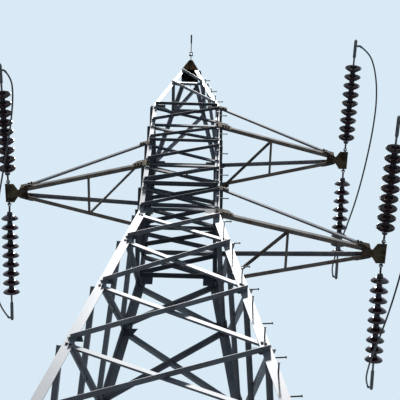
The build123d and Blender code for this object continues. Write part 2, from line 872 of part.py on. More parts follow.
def jumper_lug(side, name, plane):
    """The round lug on a clamp's barrel that holds the end of a jumper, bent into its first run."""
    points = jumper_points(name)
    if side == "back":
        points.reverse()
    end, run = points[0], points[1] - points[0]
    elbow = end - run.normalized() * lug_length
    along_string = plane.y_dir
    reach = (elbow - plane.origin).dot(along_string)
    axis_point = plane.origin + along_string * reach
    root = axis_point + (elbow - axis_point).normalized() * lug_setback
    tube([root, elbow, end], lug_radius)


def shackle(plane):
    """A shackle round a plate: its bow along the plane's X, its pin through the hole along its Y."""
    with BuildSketch(plane) as bow:
        with Locations(((shackle_reach + shackle_bar - shackle_back) / 2, 0)):
            RectangleRounded(
                shackle_reach + shackle_bar + shackle_back,
                shackle_gap + 2 * shackle_bar,
                shackle_bar,
            )
        with Locations(((shackle_reach - 2 * shackle_back) / 2, 0)):
            Rectangle(shackle_reach + 2 * shackle_back, shackle_gap, mode=Mode.SUBTRACT)
    extrude(bow.sketch, amount=shackle_width / 2, both=True)
    with BuildSketch(Plane(origin=plane.origin, z_dir=plane.y_dir)) as pin:
        Circle(shackle_pin_radius)
    extrude(pin.sketch, amount=shackle_gap / 2 + shackle_bar + shackle_pin_head, both=True)


for side, holes in string_holes.items():
    facing, slope = string_runs[side]

    # Shackles, each with its pin through the hole of the tip plate
    with BuildPart() as shackles:
        for hole in holes.values():
            shackle(Plane(origin=hole, x_dir=(0, facing, 0), z_dir=(facing, 0, 0)))
    shackles.part.label = f"shackles_{side}"
    export_step(shackles.part, f"parts/shackles_{side}.step")

    # Links between the shackles and the first caps
    with BuildPart() as links:
        seat = sqrt(link_eye_radius**2 - (shackle_width / 2) ** 2)
        eye = seat - link_thickness / 2 * tan(slope) - link_play
        for hole in holes.values():
            with BuildSketch(string_plane(side, hole)):
                with Locations((0, eye)):
                    Circle(link_eye_radius + link_eye_wall)
                with Locations((0, (eye + first_cap) / 2)):
                    Rectangle(link_width, first_cap - eye)
                with Locations((0, eye)):
                    Circle(link_eye_radius, mode=Mode.SUBTRACT)
            extrude(amount=link_thickness / 2, both=True)
    links.part.label = f"links_{side}"
    export_step(links.part, f"parts/links_{side}.step")

    # Strings of insulator discs
    with BuildPart() as strings:
        for hole in holes.values():
            spin(string_plane(side, hole), disc_outline())
    strings.part.label = f"insulator_strings_{side}"
    export_step(strings.part, f"parts/insulator_strings_{side}.step")

    # Dead end clamps
    with BuildPart() as clamps:
        for name, hole in holes.items():
            spin(string_plane(side, hole), clamp_outline())
            jumper_lug(side, name, string_plane(side, hole))
    clamps.part.label = f"dead_end_clamps_{side}"
    export_step(clamps.part, f"parts/dead_end_clamps_{side}.step")

# Shackles on the earth wire's plate, their pins level across the line
with BuildPart() as earth_wire_shackles:
    for facing, _ in string_runs.values():
        hole = Vector(0, facing * earth_hole_reach, earth_hole_height)
        shackle(Plane(origin=hole, x_dir=(0, facing, 0), z_dir=(0, 0, 1)))
earth_wire_shackles.part.label = "earth_wire_shackles"
export_step(earth_wire_shackles.part, "parts/earth_wire_shackles.step")

# Dead ends of the earth wire: an eye round the shackle's bow, a rod and a barrel with a blind bore
with BuildPart() as earth_wire_dead_ends:
    for side, (facing, slope) in string_runs.items():
        hole = Vector(0, facing * earth_hole_reach, earth_hole_height)
        plane = string_plane(side, hole)
        half = shackle_width / 2
        seat = sqrt(earth_eye_radius**2 - (half * cos(slope)) ** 2)
        eye = seat - half * sin(slope) - link_play
        rod = eye + earth_eye_radius + earth_eye_wall / 2
        barrel = rod + earth_rod_length
        mouth = barrel + earth_clamp_length
        upright = Plane(origin=plane.origin, x_dir=plane.z_dir, z_dir=-plane.x_dir)
        with BuildSketch(upright) as eye_section:
            with Locations((0, eye)):
                Circle(earth_eye_radius + earth_eye_wall)
                Circle(earth_eye_radius, mode=Mode.SUBTRACT)
        extrude(eye_section.sketch, amount=link_thickness / 2, both=True)
        spin(
            plane,
            [
                (0, rod),
                (earth_eye_wall * 0.8, rod),
                (earth_eye_wall * 0.8, barrel),
                (earth_clamp_radius, barrel + earth_clamp_radius),
                (earth_clamp_radius, mouth - earth_clamp_radius),
                (earth_wire_radius + 3, mouth),
                (earth_wire_radius, mouth),
                (earth_wire_radius, mouth - earth_wire_depth),
                (0, mouth - earth_wire_depth),
            ],
        )
earth_wire_dead_ends.part.label = "earth_wire_dead_ends"
export_step(earth_wire_dead_ends.part, "parts/earth_wire_dead_ends.step")
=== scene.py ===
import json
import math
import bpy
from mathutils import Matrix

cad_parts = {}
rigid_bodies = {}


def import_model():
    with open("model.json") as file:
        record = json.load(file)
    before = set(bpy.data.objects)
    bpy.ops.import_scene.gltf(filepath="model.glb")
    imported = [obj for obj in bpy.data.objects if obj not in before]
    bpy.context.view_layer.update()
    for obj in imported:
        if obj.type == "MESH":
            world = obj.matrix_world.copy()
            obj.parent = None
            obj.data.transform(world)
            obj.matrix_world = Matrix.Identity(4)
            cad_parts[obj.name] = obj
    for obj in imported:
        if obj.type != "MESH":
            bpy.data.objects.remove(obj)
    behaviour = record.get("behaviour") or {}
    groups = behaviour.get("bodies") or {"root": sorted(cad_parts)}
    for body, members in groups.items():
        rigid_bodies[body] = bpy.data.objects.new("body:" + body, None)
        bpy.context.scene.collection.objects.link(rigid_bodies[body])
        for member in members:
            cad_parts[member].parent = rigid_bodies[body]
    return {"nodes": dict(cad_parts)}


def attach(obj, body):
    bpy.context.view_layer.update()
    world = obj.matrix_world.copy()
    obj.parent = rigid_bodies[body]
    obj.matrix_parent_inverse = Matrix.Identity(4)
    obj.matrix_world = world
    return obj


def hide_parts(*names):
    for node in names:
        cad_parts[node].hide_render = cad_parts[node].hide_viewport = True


bl_info = {
    "name": "Lattice Transmission Pylon",
    "version": (1, 0, 0),
    "blender": (4, 5, 0),
    "location": "View3D > Sidebar > Pylon",
    "description": "Finishes a lattice pylon: weathered steel, glazed discs, bolts and jumpers",
    "category": "Object",
}

import bmesh
import bpy
from mathutils import Matrix, Vector

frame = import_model()

NODES = frame["nodes"]

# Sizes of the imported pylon, in metres
BASE_WIDTH = 4.770
WAIST_WIDTH = 1.080
WAIST_HEIGHT = 14.300
ARM_SPACING = 1.500
TIE_RISE = 0.810
PEAK_RISE = 3.850
PANEL_DEPTHS = (0.990, 1.370, 1.420, 1.430, 1.700, 2.050, 2.400, 2.680)
LEG_FLANGE = 0.110
CAGE_FLANGE = 0.065
LEG_THICKNESS = 0.008
BRACE_THICKNESS = 0.005
NODE_GAP = 0.065
WAIST_GAP = 0.128
CAGE_RISE = 0.172
CAGE_DROP = 0.114
FOOT_PLATE = 0.025
FOOT_BOLT_SPACING = 0.300
CHORD_END_GAP = 0.215
CHORD_END_HALF_GAP = 0.072

CAGE_TOP = WAIST_HEIGHT + 2 * ARM_SPACING + TIE_RISE
APEX = CAGE_TOP + PEAK_RISE
BODY_TAPER = (BASE_WIDTH - WAIST_WIDTH) / 2 / WAIST_HEIGHT
PEAK_TAPER = WAIST_WIDTH / 2 / PEAK_RISE
FACE_TURNS = (0.0, 90.0, 180.0, 270.0)
ARMS = {
    "upper_right": (2.600, WAIST_HEIGHT + 2 * ARM_SPACING, 1),
    "left": (2.600, WAIST_HEIGHT + ARM_SPACING, -1),
    "lower_right": (2.800, WAIST_HEIGHT, 1),
}
HOLE_SETBACK = 0.050
HOLE_OFFSET = 0.110
HOLE_DROP = 0.006
BOW_REACH = 0.062
STRINGS = {"front": (-1, math.radians(2.0)), "back": (1, math.radians(10.5))}
FIRST_CAP = 0.123
DISC_COUNT = 9
DISC_PITCH = 0.146

# A turned shape starts as a small plane merged to one vertex; its doubles merge within a distance
SEED_SIZE = 0.002
MERGE_DISTANCE = 0.00005

# Bolts of the bracing: height of head and nut, and the steel between them comes from the bars
BRACE_BOLT_HEAD = 0.011
BRACE_BOLT_NUT = 0.013
BODY_BOLT_SPACING = 0.042
CAGE_BOLT_SPACING = 0.036
END_BOLTS = (-0.35, 0.65)

# Bolts of the arms: distances along the chord from its root or back from its tip, and heights
PLATE_BOLT_HEAD = 0.012
PLATE_BOLT_NUT = 0.014
PLATE_BOLT_GRIP = 0.016
PLATE_SEAT = 0.010
CHORD_GAUGE = 0.032
LEG_GAUGE = 0.033
ROOT_CHORD_BOLTS = (0.055, 0.100, 0.145)
ROOT_TIE_BOLTS = (0.065, 0.105)
ROOT_LEG_BOLTS = (0.045, 0.100, TIE_RISE - 0.060, TIE_RISE - 0.020)
TIP_CHORD_BOLTS = (0.150, 0.115, 0.080)
TIP_TIE_BOLTS = (0.165, 0.125)
TIP_PLATE_BOLTS = (0.020, 0.060)
TIP_PLATE_GAUGE = 0.030
TIP_PLATE_DROP = 0.012

# The line of a tie's bolts: a distance from the arm's root or tip, the height there and the slope
ROOT_TIE_LINE = (0.040, TIE_RISE - 0.045, -0.38)
TIP_TIE_LINE = (0.095, 0.092, 0.35)

# Nuts and washers on the feet
ANCHOR_WASHER = 0.005
ANCHOR_NUT = 0.026
ANCHOR_CHAMFER = 0.003
ANCHOR_THREAD = 0.022

# How far heads and nuts turn with their place, so that no two stand alike, in radians a metre
LATTICE_TWIST = 7.0
ARM_TWIST = 9.0
ANCHOR_TWIST = 5.0

# The camera: its place in metres, how it is turned in radians, and its lens in millimetres
CAMERA_PLACE = (0.3047, -7.1233, 1.6164)
CAMERA_YAW = -0.0049
CAMERA_PITCH = 1.1038
CAMERA_ROLL = 0.033
CAMERA_LENS = 96.93
CAMERA_SENSOR = 36.0
CAMERA_REACH = 400.0

# The sun, the fill light and the floor
SUN_STRENGTH = 5.1
SUN_ANGLE = math.radians(3.0)
SUN_AIM = (-0.02, 0.14, -0.98)
FILL_COLOUR = "#aac8f2"
FILL_STRENGTH = 0.085
FLOOR_WIDTH = 600.0
FLOOR_HEIGHT = -0.001
FLOOR_BOUNCE = "#1f272f"
FLOOR_COLOUR = "#9a9fa3"

# The jumper's route from the middle of an arm's two holes: outward, along the line and up
JUMPER_ROUTE = (
    (0.105, -1.905, -0.070),
    (0.215, -1.835, -0.120),
    (0.285, -1.680, -0.255),
    (0.318, -1.470, -0.430),
    (0.318, -1.220, -0.590),
    (0.290, -0.960, -0.720),
    (0.248, -0.680, -0.835),
    (0.195, -0.390, -0.935),
    (0.140, -0.090, -1.005),
    (0.080, 0.220, -1.035),
    (0.015, 0.540, -1.015),
    (-0.045, 0.870, -0.935),
    (-0.090, 1.190, -0.800),
    (-0.110, 1.490, -0.640),
    (-0.105, 1.750, -0.490),
    (-0.065, 1.900, -0.405),
)
JUMPER_SHAPES = {
    "upper_right": (1.0, 0.0),
    "left": (0.75, -0.110),
    "lower_right": (1.0, -0.100),
}


def linear(hex_colour):
    """A hex colour as linear red, green and blue."""
    channels = []
    for place in (1, 3, 5):
        value = int(hex_colour[place : place + 2], 16) / 255
        channels.append(value / 12.92 if value <= 0.04045 else ((value + 0.055) / 1.055) ** 2.4)
    return tuple(channels)


def scaled(colour, factor):
    """A colour made darker or paler by a factor, never past white."""
    return tuple(min(1.0, factor * value) for value in colour)


class PylonSizes(bpy.types.PropertyGroup):
    conductor: bpy.props.FloatProperty(
        name="Conductor",
        description="Diameter of the conductor in the jumpers",
        default=0.024,
        unit="LENGTH",
    )
    brace_bolt: bpy.props.FloatProperty(
        name="Brace bolt",
        description="Width across the flats of the bolts in the bracing",
        default=0.027,
        unit="LENGTH",
    )
    plate_bolt: bpy.props.FloatProperty(
        name="Plate bolt",
        description="Width across the flats of the bolts in legs, chords and plates",
        default=0.030,
        unit="LENGTH",
    )
    anchor_bolt: bpy.props.FloatProperty(
        name="Anchor bolt",
        description="Width across the flats of the nuts on the feet",
        default=0.046,
        unit="LENGTH",
    )
    disc_radius: bpy.props.FloatProperty(
        name="Disc radius",
        description="Radius of an insulator disc at its rim",
        default=0.1275,
        unit="LENGTH",
    )


class PylonColours(bpy.types.PropertyGroup):
    zinc: bpy.props.FloatVectorProperty(
        name="Zinc",
        description="Weathered zinc coat of the legs and braces",
        subtype="COLOR",
        default=linear("#8a8e94"),
    )
    zinc_stain: bpy.props.FloatVectorProperty(
        name="Zinc stain",
        description="Dull patches on the zinc",
        subtype="COLOR",
        default=linear("#666b73"),
    )
    dull: bpy.props.FloatVectorProperty(
        name="Dull steel",
        description="Browned chords and bracing of the arms",
        subtype="COLOR",
        default=linear("#988e82"),
    )
    plate: bpy.props.FloatVectorProperty(
        name="Plate steel",
        description="Brown root plates, tip plates and cap",
        subtype="COLOR",
        default=linear("#a08c6c"),
    )
    rust: bpy.props.FloatVectorProperty(
        name="Rust",
        description="Rust in patches on zinc and browned steel",
        subtype="COLOR",
        default=linear("#4b3a2d"),
    )
    glaze: bpy.props.FloatVectorProperty(
        name="Glaze",
        description="Brown glaze of the insulator discs",
        subtype="COLOR",
        default=linear("#5c333d"),
    )
    aluminium: bpy.props.FloatVectorProperty(
        name="Aluminium",
        description="Weathered aluminium of conductors and clamps",
        subtype="COLOR",
        default=linear("#75797e"),
    )
    backdrop: bpy.props.FloatVectorProperty(
        name="Backdrop",
        description="Pale background that the camera sees",
        subtype="COLOR",
        default=linear("#d9eaf6"),
    )


def half_width(height):
    """Half the distance across the heels of the legs at a height."""
    if height < WAIST_HEIGHT:
        return WAIST_WIDTH / 2 + BODY_TAPER * (WAIST_HEIGHT - height)
    if height < CAGE_TOP:
        return WAIST_WIDTH / 2
    return PEAK_TAPER * (APEX - height)


def body_levels():
    """Heights of the leg joints below the waist, from the top down."""
    levels = [WAIST_HEIGHT]
    for depth in PANEL_DEPTHS:
        levels.append(levels[-1] - depth)
    return levels


def cage_levels():
    """Heights of the joints of the cage, from the bottom up."""
    return sorted(level + rise for _, level, _ in ARMS.values() for rise in (0.0, TIE_RISE))


def on_face(turn, across, height, out=0.0):
    """A point on the outer plane of a face, across to the right, moved outward by out."""
    point = Vector((across, -half_width(height), height)) + face_outward(0.0, height) * out
    return Matrix.Rotation(math.radians(turn), 3, "Z") @ point


def face_outward(turn, height):
    """The outward direction of a face at a height."""
    taper = 0.0
    if height < WAIST_HEIGHT:
        taper = BODY_TAPER
    if height > CAGE_TOP + 0.001:
        taper = PEAK_TAPER
    outward = Vector((0.0, -1.0, taper)).normalized()
    return Matrix.Rotation(math.radians(turn), 3, "Z") @ outward


def add_node(tree, kind, links=(), settings=(), inputs=()):
    """One shader node with its settings, its input values and the links into it."""
    node = tree.nodes.new(kind)
    for name, value in settings:
        setattr(node, name, value)
    for name, value in inputs:
        node.inputs[name].default_value = value
    for name, source in links:
        tree.links.new(source, node.inputs[name])
    return node


def new_material(name, roughness, metallic=0.0, sheen=0.5):
    """An empty material with its shader, and the tree and coordinates that its patterns read."""
    material = bpy.data.materials.new(name)
    material.use_nodes = True
    tree = material.node_tree
    shader = tree.nodes["Principled BSDF"]
    shader.inputs["Roughness"].default_value = roughness
    shader.inputs["Metallic"].default_value = metallic
    shader.inputs["Specular IOR Level"].default_value = sheen
    place = tree.nodes.new("ShaderNodeTexCoord").outputs["Object"]
    return material, tree, shader, place


def noise(tree, place, size_mm, detail=3.0, rough=0.55):
    """A noise whose patches are about as wide as a size in millimetres."""
    return add_node(
        tree,
        "ShaderNodeTexNoise",
        links=[("Vector", place)],
        inputs=[("Scale", 1000.0 / size_mm), ("Detail", detail), ("Roughness", rough)],
    ).outputs["Fac"]


def band(tree, source, low, high):
    """A pattern narrowed to run from 0 at low to 1 at high."""
    return add_node(
        tree,
        "ShaderNodeMapRange",
        links=[("Value", source)],
        settings=[("interpolation_type", "SMOOTHSTEP")],
        inputs=[("From Min", low), ("From Max", high)],
    ).outputs["Result"]


def blend_colours(tree, factor, first, second):
    """A mix of two colours; each is a colour or the output of a node."""
    mix = add_node(
        tree,
        "ShaderNodeMix",
        links=[("Factor", factor)],
        settings=[("data_type", "RGBA")],
    )
    for socket, colour in ((mix.inputs[6], first), (mix.inputs[7], second)):
        if isinstance(colour, bpy.types.NodeSocket):
            tree.links.new(colour, socket)
        else:
            socket.default_value = (*colour, 1.0)
    return mix.outputs[2]


def weaken(tree, source, share):
    """A pattern kept to a share of its strength."""
    return add_node(
        tree,
        "ShaderNodeMath",
        links=[(0, source)],
        settings=[("operation", "MULTIPLY")],
        inputs=[(1, share)],
    ).outputs[0]


def add_bump(tree, shader, height, strength, depth_mm):
    """A surface relief of a depth in millimetres."""
    relief = add_node(
        tree,
        "ShaderNodeBump",
        links=[("Height", height)],
        inputs=[("Strength", strength), ("Distance", depth_mm / 1000.0)],
    )
    tree.links.new(relief.outputs["Normal"], shader.inputs["Normal"])


def galvanised_steel(name, base, colours, sheen):
    # Hot dip zinc gone matt in the weather: grey with duller clouds and a fine spangle, and brown
    # patches of light rust. It reads as chalky steel that flashes pale in the sun, not as bare metal.
    material, tree, shader, place = new_material(name, roughness=0.56, sheen=sheen)
    clouds = band(tree, noise(tree, place, 700.0), 0.42, 0.68)
    spangle = band(tree, noise(tree, place, 22.0, 2.0), 0.35, 0.7)
    rust = band(tree, noise(tree, place, 260.0, 6.0, 0.7), 0.66, 0.78)
    surface = blend_colours(tree, clouds, tuple(base), tuple(colours.zinc_stain))
    surface = blend_colours(tree, weaken(tree, spangle, 0.35), surface, scaled(base, 1.12))
    surface = blend_colours(tree, rust, surface, tuple(colours.rust))
    tree.links.new(surface, shader.inputs["Base Color"])
    add_bump(tree, shader, spangle, 0.25, 0.6)
    return material


def browned_steel(name, base, colours, sheen):
    # The same zinc on the arms and their plates, browned by iron from under it: olive brown with
    # darker rust in clouds and a little clean zinc left. It is what makes the arms look warm.
    material, tree, shader, place = new_material(name, roughness=0.7, sheen=sheen)
    clouds = band(tree, noise(tree, place, 160.0, 5.0, 0.65), 0.38, 0.66)
    grain = band(tree, noise(tree, place, 14.0, 3.0), 0.3, 0.75)
    surface = blend_colours(tree, clouds, tuple(base), tuple(colours.rust))
    worn = band(tree, noise(tree, place, 90.0, 6.0, 0.7), 0.62, 0.74)
    surface = blend_colours(tree, worn, surface, tuple(colours.zinc_stain))
    tree.links.new(surface, shader.inputs["Base Color"])
    add_bump(tree, shader, grain, 0.35, 0.8)
    return material


def forged_fittings(colours):
    # Forged and galvanised shackles, links, caps and bolts: darker than rolled steel, and mottled
    # and roughened by scale under the zinc.
    name = "Forged_Galvanised_Fittings"
    material, tree, shader, place = new_material(name, roughness=0.55, metallic=0.1, sheen=0.3)
    scale = band(tree, noise(tree, place, 18.0, 4.0), 0.35, 0.7)
    pale = scaled(colours.zinc_stain, 0.6)
    dark = scaled(colours.zinc_stain, 0.25)
    surface = blend_colours(tree, scale, pale, dark)
    tree.links.new(surface, shader.inputs["Base Color"])
    add_bump(tree, shader, scale, 0.4, 0.8)
    return material


def porcelain(colours):
    # Brown glazed porcelain: a glassy coat over dark brown, in clouds of two depths, with patches
    # made duller by dust. It flashes bright along the rims and goes nearly black below.
    name = "Brown_Glazed_Porcelain"
    material, tree, shader, place = new_material(name, roughness=0.2, sheen=0.45)
    shade = band(tree, noise(tree, place, 120.0, 3.0), 0.35, 0.7)
    dust = band(tree, noise(tree, place, 35.0, 6.0, 0.65), 0.5, 0.85)
    surface = blend_colours(tree, shade, tuple(colours.glaze), scaled(colours.glaze, 0.45))
    tree.links.new(surface, shader.inputs["Base Color"])
    gloss = add_node(
        tree,
        "ShaderNodeMapRange",
        links=[("Value", dust)],
        inputs=[("To Min", 0.16), ("To Max", 0.4)],
    )
    tree.links.new(gloss.outputs["Result"], shader.inputs["Roughness"])
    return material


def aluminium_fittings(colours):
    # Pressed aluminium clamps left in the weather: dull grey with a fine grain and darker oxide
    # in clouds.
    name = "Weathered_Aluminium_Fittings"
    material, tree, shader, place = new_material(name, roughness=0.55, metallic=0.35, sheen=0.3)
    oxide = band(tree, noise(tree, place, 60.0, 5.0), 0.4, 0.7)
    dark = scaled(colours.aluminium, 0.6)
    surface = blend_colours(tree, oxide, tuple(colours.aluminium), dark)
    tree.links.new(surface, shader.inputs["Base Color"])
    add_bump(tree, shader, noise(tree, place, 6.0, 2.0), 0.2, 0.3)
    return material


def stranded_conductor(colours):
    # Stranded aluminium conductor, blackened by years outside: each lay of wires runs round the
    # cord as a slanted band, here drawn 12 mm wide, coarser than the real 4 mm, so that it shows.
    name = "Stranded_Aluminium_Conductor"
    material, tree, shader, place = new_material(name, roughness=0.55, metallic=0.45)
    twist = add_node(
        tree,
        "ShaderNodeMapping",
        links=[("Vector", place)],
        inputs=[("Rotation", (0.5, 0.4, 0.3))],
    ).outputs["Vector"]
    wires = add_node(
        tree,
        "ShaderNodeTexWave",
        links=[("Vector", twist)],
        inputs=[("Scale", 26.0), ("Distortion", 0.4), ("Detail", 1.0)],
    ).outputs["Fac"]
    pale = scaled(colours.aluminium, 0.42)
    dark = scaled(colours.aluminium, 0.12)
    tree.links.new(blend_colours(tree, wires, pale, dark), shader.inputs["Base Color"])
    add_bump(tree, shader, wires, 0.5, 1.5)
    return material


def cement():
    # Portland cement between cap and glaze: a pale grey, rough ring.
    material, tree, shader, place = new_material("Portland_Cement", roughness=0.9)
    grit = noise(tree, place, 3.0, 2.0)
    surface = blend_colours(tree, grit, linear("#8b8882"), linear("#5f5c57"))
    tree.links.new(surface, shader.inputs["Base Color"])
    return material


def deselect_all():
    """Leaves nothing selected, so that an operator touches only what is picked next."""
    if bpy.context.object and bpy.context.object.mode != "OBJECT":
        bpy.ops.object.mode_set(mode="OBJECT")
    for item in bpy.context.view_layer.objects.selected:
        item.select_set(False)
    bpy.context.view_layer.objects.active = None


def pick(item):
    """Makes one object the only selected and the active one."""
    deselect_all()
    item.select_set(True)
    bpy.context.view_layer.objects.active = item


def scatter(template, places, name):
    """Copies of a template at each place, each with its own mesh, joined into one piece."""
    copies = []
    for place in places:
        copy = template.copy()
        copy.data = template.data.copy()
        copy.data.transform(place)
        bpy.context.scene.collection.objects.link(copy)
        copies.append(copy)
    bpy.data.objects.remove(template)
    deselect_all()
    for copy in copies:
        copy.select_set(True)
    bpy.context.view_layer.objects.active = copies[0]
    bpy.ops.object.join()
    piece = bpy.context.object
    piece.name = name
    return piece


def paint(piece, *materials):
    """Gives a piece its materials, in the order of its faces' slots."""
    piece.data.materials.clear()
    for material in materials:
        piece.data.materials.append(material)


def edit_end_face(piece, facing):
    """Enters edit mode with only the end face selected: the top for facing 1, the bottom for -1."""
    pick(piece)
    bpy.ops.object.mode_set(mode="EDIT")
    bpy.ops.mesh.select_mode(type="FACE")
    mesh = bmesh.from_edit_mesh(piece.data)
    for face in mesh.faces:
        face.select_set(face.normal.z * facing > 0.9)
    bmesh.update_edit_mesh(piece.data)


def leave_edit():
    """Leaves edit mode."""
    bpy.ops.object.mode_set(mode="OBJECT")


def add_prism(sides, radius, low, high):
    """A prism round Z with its ends at two heights, the start of a head, a nut or a washer."""
    bpy.ops.mesh.primitive_cylinder_add(
        vertices=sides,
        radius=radius,
        depth=high - low,
        location=(0, 0, (low + high) / 2),
    )
    return bpy.context.object


def extrude_up(rise):
    """Extrudes the selected face along Z."""
    bpy.ops.mesh.extrude_region_move(TRANSFORM_OT_translate={"value": (0, 0, rise)})


def join_at_origin(first, second):
    """Joins two objects into one, whose place is in its mesh."""
    deselect_all()
    first.select_set(True)
    second.select_set(True)
    bpy.context.view_layer.objects.active = first
    bpy.ops.object.join()
    bpy.ops.object.transform_apply(location=True, rotation=True, scale=True)
    return bpy.context.object


def make_hex_bolt(width, head, shank, nut):
    """A bolt through a joint at the origin: head above along Z, nut and thread end below."""
    radius = width / math.sqrt(3)
    deselect_all()
    bolt = add_prism(6, radius, 0.0, head)
    edit_end_face(bolt, 1)
    bpy.ops.mesh.inset(thickness=radius * 0.16, depth=0.0)
    bpy.ops.transform.translate(value=(0, 0, head * 0.14))
    leave_edit()
    deselect_all()
    under = add_prism(6, radius, -shank - nut, -shank)
    edit_end_face(under, -1)
    bpy.ops.mesh.inset(thickness=radius * 0.45, depth=0.0)
    extrude_up(-nut * 0.5)
    leave_edit()
    return join_at_origin(bolt, under)


def finish_fasteners(piece):
    """Paints a piece of bolts or nuts and ties it to the tower."""
    paint(piece, bpy.data.materials["Forged_Galvanised_Fittings"])
    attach(piece, "root")


def bolt_place(point, direction, turn=0.0):
    """Where a bolt stands: its head's seat at the point, its axis along the direction."""
    up = Vector(direction).normalized()
    aim = up.to_track_quat("Z", "Y").to_matrix().to_4x4()
    spin = Matrix.Rotation(turn, 4, "Z")
    return Matrix.Translation(Vector(point)) @ aim @ spin


def bar_bolts(turn, first, second, seat, places, spacing):
    """Two bolts at each end of a brace of a face, their heads on a seat outside the leg flange."""
    for near, far in ((first, second), (second, first)):
        start = on_face(turn, near[0], near[1], seat)
        along = (on_face(turn, far[0], far[1], seat) - start).normalized()
        normal = face_outward(turn, near[1])
        for step in END_BOLTS:
            twist = near[1] * LATTICE_TWIST + step
            places.append(bolt_place(start + along * spacing * step, normal, twist))


def brace_pair(top, bottom, leg_width, gap_top, gap_bottom):
    """The ends of the outer and the inner diagonal of a panel, in face coordinates."""
    high, low = top - gap_top, bottom + gap_bottom
    upper = half_width(high) - leg_width / 2
    lower = half_width(low) - leg_width / 2
    return ((-lower, low), (upper, high)), ((-upper, high), (lower, low))


def crossing(first, second):
    """The point where two diagonals cross, in face coordinates."""
    (ax, az), (bx, bz) = first
    (cx, cz), (dx, dz) = second
    run = (bx - ax) * (dz - cz) - (bz - az) * (dx - cx)
    share = ((cx - ax) * (dz - cz) - (cz - az) * (dx - cx)) / run
    return ax + share * (bx - ax), az + share * (bz - az)


def arm_frame(reach):
    """The root, direction, outward side and length of an arm's front chord, at level 0."""
    root = Vector((WAIST_WIDTH / 2, -WAIST_WIDTH / 2, 0.0))
    end = Vector((reach - CHORD_END_GAP, -CHORD_END_HALF_GAP, 0.0))
    along = (end - root).normalized()
    return root, along, along.cross(Vector((0, 0, 1))), (end - root).length


def arm_places(reach, level, side, points):
    """Bolt places of an arm from points and directions at its front half, on both halves."""
    places = []
    turn = Matrix.Rotation(0.0 if side == 1 else math.pi, 4, "Z")
    lift = Matrix.Translation((0, 0, level))
    for point, direction in points:
        for flip in (1, -1):
            mirrored = Vector((point.x, point.y * flip, point.z))
            facing = Vector((direction.x, direction.y * flip, direction.z))
            places.append(lift @ turn @ bolt_place(mirrored, facing, point.x * ARM_TWIST))
    return places


def string_matrix(side, reach, level, facing_x):
    """A string's own frame: origin at the shackle's bow, Z along the string away from the arm."""
    facing, slope = STRINGS[side]
    across = facing_x * (reach - HOLE_SETBACK)
    bow = Vector((across, facing * (HOLE_OFFSET + BOW_REACH), level - HOLE_DROP))
    fall = Vector((0.0, facing * math.cos(slope), -math.sin(slope)))
    return Matrix.Translation(bow) @ fall.to_track_quat("Z", "Y").to_matrix().to_4x4()


def spin_profile(outline, steps):
    """A turned shape: one vertex drawn out along a half outline of radii and heights, then spun."""
    deselect_all()
    bpy.ops.mesh.primitive_plane_add(size=SEED_SIZE, location=(outline[0][0], 0, outline[0][1]))
    shape = bpy.context.object
    bpy.ops.object.mode_set(mode="EDIT")
    bpy.ops.mesh.select_mode(type="VERT")
    bpy.ops.mesh.select_all(action="SELECT")
    bpy.ops.mesh.merge(type="CENTER")
    for (radius, height), (next_radius, next_height) in zip(outline, outline[1:]):
        step = (next_radius - radius, 0, next_height - height)
        bpy.ops.mesh.extrude_vertices_move(TRANSFORM_OT_translate={"value": step})
    bpy.ops.mesh.select_all(action="SELECT")
    bpy.ops.mesh.spin(
        steps=steps,
        angle=2 * math.pi,
        center=(0, 0, 0),
        axis=(0, 0, 1),
        use_auto_merge=True,
    )
    bpy.ops.mesh.select_all(action="SELECT")
    bpy.ops.mesh.remove_doubles(threshold=MERGE_DISTANCE)
    bpy.ops.mesh.normals_make_consistent(inside=False)
    leave_edit()
    bpy.ops.object.transform_apply(location=True, rotation=True, scale=True)
    return shape


